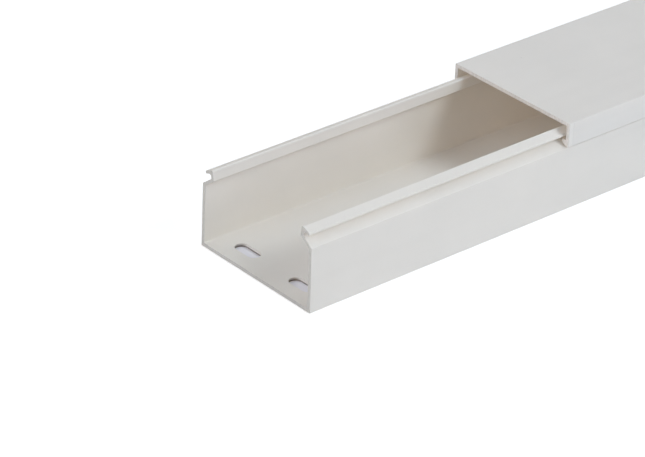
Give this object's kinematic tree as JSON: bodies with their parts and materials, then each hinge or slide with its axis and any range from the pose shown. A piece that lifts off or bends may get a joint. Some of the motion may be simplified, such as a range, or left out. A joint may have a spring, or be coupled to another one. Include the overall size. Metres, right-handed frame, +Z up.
{
  "type": "cable trunking with clip-on lid",
  "caption": "Rectangular plastic cable trunking: an open U-shaped base with hooked lips and slotted floor, closed by a clip-on lid that is slid part of the way back.",
  "frame": {"origin": "middle of the base's flat underside, halfway along the base", "axes": "+Y runs along the length, from the end where the base is uncovered towards the end the lid is slid to; +Z is up, out of the base's underside towards the lid; +X is across"},
  "size_m": [0.1018, 2.201, 0.06],
  "materials": {
    "base_pvc": "white rigid PVC, smooth as extruded, satin",
    "lid_pvc": "white rigid PVC, smooth as extruded, satin"
  },
  "bodies": {
    "base": {"base_channel": "base_pvc"},
    "cover": {"lid": "lid_pvc"}
  },
  "joints": [
    {"name": "lid_slide", "type": "slide", "parent": "base", "child": "cover", "axis": [0, 1, 0], "range_m": [-0.201, 1.699]}
  ]
}
